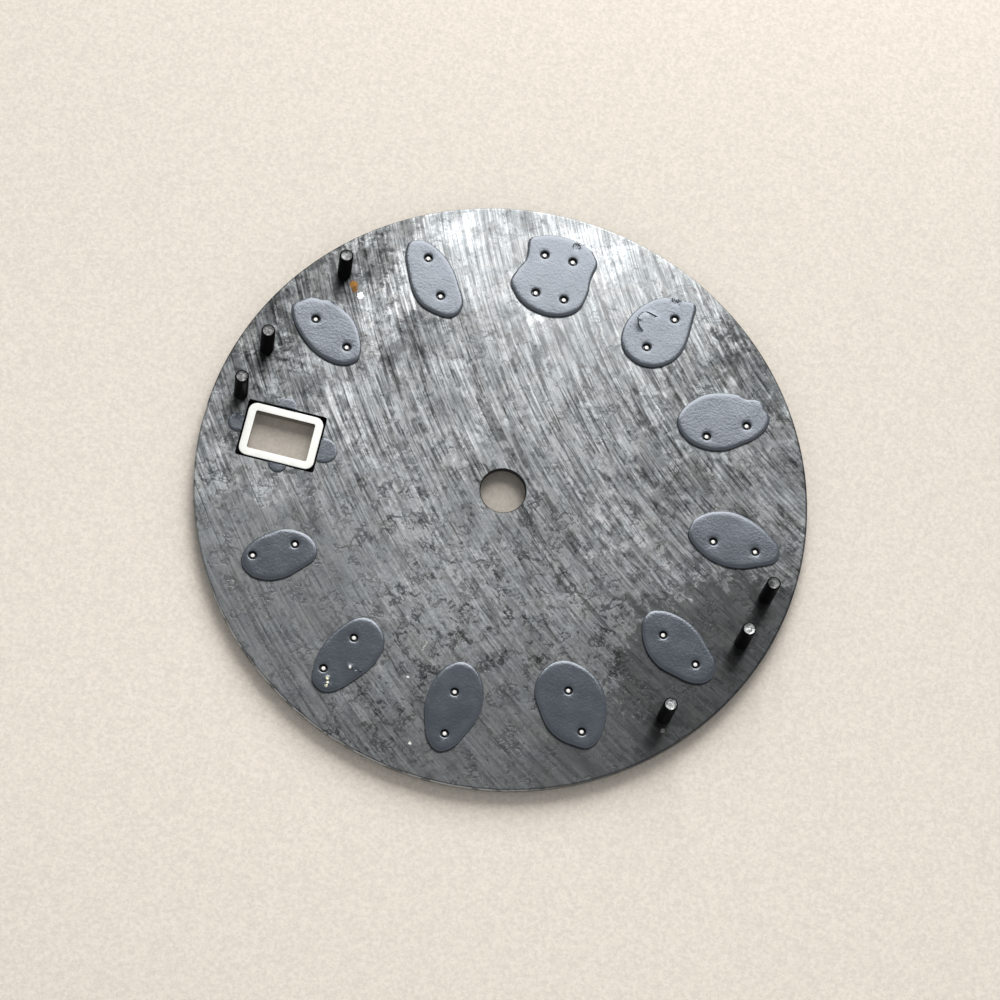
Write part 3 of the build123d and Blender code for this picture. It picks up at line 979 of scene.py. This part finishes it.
def make_plate(steel):
    *_, opening = box_of("date_frame")

    def rim(inward, height):
        points = []
        for step in range(plate_sides):
            turn = 360 * step / plate_sides
            chip = sum(deep * max(0, 1 - abs(turn - at) / wide) for at, wide, deep in rim_chips)
            reach = plate_radius - inward - chip * (height > chips_above)
            points.append(Vector((reach * cos(radians(turn)), reach * sin(radians(turn)), height)))
        return points

    def bore(inward, height):
        return ring((0, 0), hole_radius + inward, height, hole_sides)

    def aperture(inward, height):
        length, width = aperture_length + 2 * inward, aperture_width + 2 * inward
        points = rounded_rectangle(length, width, aperture_corner + inward, aperture_corner_steps)
        return [Vector((opening.x + p.x, opening.y + p.y, height)) for p in points]

    parts, fronts, backs = [], [], []
    for outline, profile in ((rim, plate_rim), (bore, hole_edge), (aperture, opening_edge)):
        loops = [outline(inward, height) for inward, height in profile]
        vertices, faces = skin(loops)
        parts.append((vertices, faces[:-2]))
        fronts.append(loops[0])
        backs.append(loops[-1])
    for outer, *holes in (fronts, backs):
        parts.append(filled([outer, *(loop[::-1] for loop in holes)]))
    vertices, faces = joined_parts(parts)
    new_piece("back_plate", vertices, faces, [steel], ["dial_plate"], merged=True)


def make_pads(resin, well_shadow):
    for hour in hours:
        node = f"glue_pad_{hour:02d}"
        feet = [foot for aside in asides_of(hour).values() for foot in marker_feet(hour, aside)]
        middle, radii = outline_of(node, -level_margin, level_margin, feet)
        pushes = [(pad_place(hour, x, y), *size) for x, y, *size in pad_pushes.get(hour, ())]
        radii = pushed(middle, smoothed([radius + pad_spread for radius in radii]), pushes)
        dimples = [(pad_place(hour, x, y), *size) for x, y, *size in pad_dimples.get(hour, ())]
        crack = [pad_place(hour, x, y) for x, y in pad_cracks.get(hour, ())]
        top = box_of(node)[1].z
        shape = cushion(middle, radii, 0, top, pad_edge_width, feet, dimples, crack)
        vertices, faces, face_materials = shape
        name = f"adhesive_pad_{hour:02d}"
        new_piece(name, vertices, faces, [resin, well_shadow], [node], face_materials)


def make_beads(resin):
    *_, opening = box_of("date_frame")
    for side in ("right", "top", "left", "bottom"):
        node = f"glue_bead_{side}"
        low, high, _ = box_of(node)
        middle, radii = outline_of(node, 0, high.z)
        inward = opening.xy - middle
        along_x = abs(inward.x) / aperture_length > abs(inward.y) / aperture_width
        sheer = Vector((inward.x, 0) if along_x else (0, inward.y)).normalized()
        vertices, faces, _ = cushion(middle, smoothed(radii), low.z, high.z, bead_edge_width, sheer=sheer)
        new_piece(f"adhesive_bead_{side}", vertices, faces, [resin], [node])


def make_dial_feet(black, dull_tip, bright_tip):
    for number in range(1, len(foot_places) + 1):
        tip = bright_tip if number in bright_feet else dull_tip
        node = f"dial_foot_{number}"
        *_, middle = box_of(node)
        loops = [
            ring(middle, share * foot_radius, foot_length - depth, foot_sides)
            for share, depth in foot_profile
        ]
        vertices, faces = skin(loops)
        side_faces = foot_cut_step * foot_sides
        end_faces = len(faces) - 2 - side_faces
        face_materials = [0] * side_faces + [1] * end_faces + [0, 1]
        name = f"foot_post_{number}"
        new_piece(name, vertices, faces, [black, tip], [node], face_materials)


def bar_loop(hour, aside, size, margin, height, corner=marker_corner):
    """A closed loop round an hour's marker, smaller than a size by a margin."""
    place, outward, left = marker_frame(hour)
    points = rounded_rectangle(size[0] - margin, size[1] - margin, corner, marker_corner_steps)
    return [Vector((*(place + left * (aside + p.y) + outward * p.x), height)) for p in points]


def make_marker(hour, name, aside, materials):
    """A bevelled bar with a channel and two feet."""
    loop = partial(bar_loop, hour, aside)
    top = cad_low.z / mm
    side = top + marker_bevel
    soft = edge_softness
    parts = [skin([
        loop(marker_size, 0, front_height),
        loop(marker_size, 0, side + soft),
        loop(marker_size, soft, side - soft / 2),
        loop(marker_size, 2 * marker_bevel - soft, top + soft / 2),
        loop(marker_size, 2 * marker_bevel + soft, top),
        loop(channel_size, -soft, top),
        loop(channel_size, 0, top + soft),
        loop(channel_size, 0, top + channel_depth),
    ])]
    face_materials = [0] * len(parts[0][1])
    for foot in marker_feet(hour, aside):
        rings = [ring(foot, marker_foot_radius, front_height, marker_foot_sides)]
        for share, depth in marker_foot_tip:
            rings.append(ring(foot, share * marker_foot_radius, marker_foot_top - depth, marker_foot_sides))
        parts.append(skin(rings))
        shaded_faces = (len(rings) - 2) * marker_foot_sides
        face_materials += [1] * shaded_faces + [2] * marker_foot_sides + [1, 2]
    vertices, faces = joined_parts(parts)
    node = f"marker_{name}"
    new_piece(f"baton_{name}", vertices, faces, materials, [node], face_materials)


def make_lume(hour, name, aside, lume):
    node = f"lume_{name}"
    front = box_of(node)[0].z
    heights = [cad_low.z / mm + channel_depth] + [front + rise for _, rise in lume_edge]
    margins = [lume_edge[0][0]] + [margin for margin, _ in lume_edge]
    vertices, faces = skin([
        bar_loop(hour, aside, channel_size, margin, height, lume_corner)
        for margin, height in zip(margins, heights)
    ])
    new_piece(f"lume_fill_{name}", vertices, faces, [lume], [node])


def make_markers(chrome, shade, tip, lume):
    for hour in hours:
        for name, aside in asides_of(hour).items():
            make_marker(hour, name, aside, [chrome, shade, tip])
            make_lume(hour, name, aside, lume)


def make_date_frame(paint, dark, wall):
    low, high, middle = box_of("date_frame")
    flange_size = (high.x - low.x, high.y - low.y)

    def loop(size, growth, corner, height):
        points = []
        for p in rounded_rectangle(size[0] + growth, size[1] + growth, corner, frame_corner_steps):
            wave = frame_wave * noise.noise(Vector((p.x, p.y, height)) * frame_wave_scale)
            points.append(Vector((middle.x + p.x + wave, middle.y + p.y + wave, height)))
        return points

    soft = frame_softness
    loops = [
        loop(window_size, 0, window_corner, low.z + window_bevel),
        loop(window_size, 2 * window_bevel, window_corner + window_bevel, low.z),
        loop(flange_size, -2 * flange_bevel, flange_corner - flange_bevel, low.z),
        loop(flange_size, 0, flange_corner, low.z + flange_bevel),
        loop(flange_size, 0, flange_corner, front_height),
        loop(frame_size, 0, frame_corner, front_height),
    ]
    for inward, drop, tighter, _ in frame_edge:
        corner = frame_corner - tighter * soft
        loops.append(loop(frame_size, -inward * soft, corner, frame_back - drop * soft))
    for inward, drop, _, wider in reversed(frame_edge):
        corner = window_corner + wider * soft
        loops.append(loop(window_size, inward * soft, corner, frame_back - drop * soft))
    loops.append(loop(window_size, 0, window_corner, frame_back - soft - window_shade_depth))
    vertices, faces = skin(loops, joined=True)
    # Painted shade: black in the gap round the frame and along the window's edge, shaded brown on its wall
    face_materials = [frame_painted_shade_bands.get(index // len(loops[0]), 0) for index in range(len(faces))]
    materials = [paint, dark, wall]
    new_piece("window_frame", vertices, faces, materials, ["date_frame"], face_materials)


def make_minute_track(white):
    parts = []
    for minute in range(60):
        angle = tau * minute / 60
        outward = Vector((cos(angle), sin(angle)))
        left = Vector((-outward.y, outward.x))
        width = five_minute_tick_width if minute % 5 == 0 else tick_width
        corners = [
            outward * (track_radius + along * tick_length) + left * aside * width / 2
            for along, aside in ((0, 1), (0, -1), (-1, -1), (-1, 1))
        ]
        heights = (front_height, front_height - print_thickness)
        parts.append(skin([[Vector((*corner, height)) for corner in corners] for height in heights]))
    vertices, faces = joined_parts(parts)
    new_piece("minute_track", vertices, faces, [white])


bpy.context.scene.view_settings.view_transform = "Standard"
make_camera()
make_lamp()
make_world()
make_floor()

resin = resin_material()
well_shadow = plain_material("well_shadow")
white_paint = plain_material("white_paint")
black = black_material()
make_plate(plate_material())
make_pads(resin, well_shadow)
make_beads(resin)
make_dial_feet(black, *(cut_end_material(name) for name in cut_end_colours))
make_markers(plain_material("polished_metal"), well_shadow, plain_material("bright_tip"),
             plain_material("pale_lume"))
make_date_frame(white_paint, black, plain_material("painted_shade_window_wall"))
make_minute_track(white_paint)
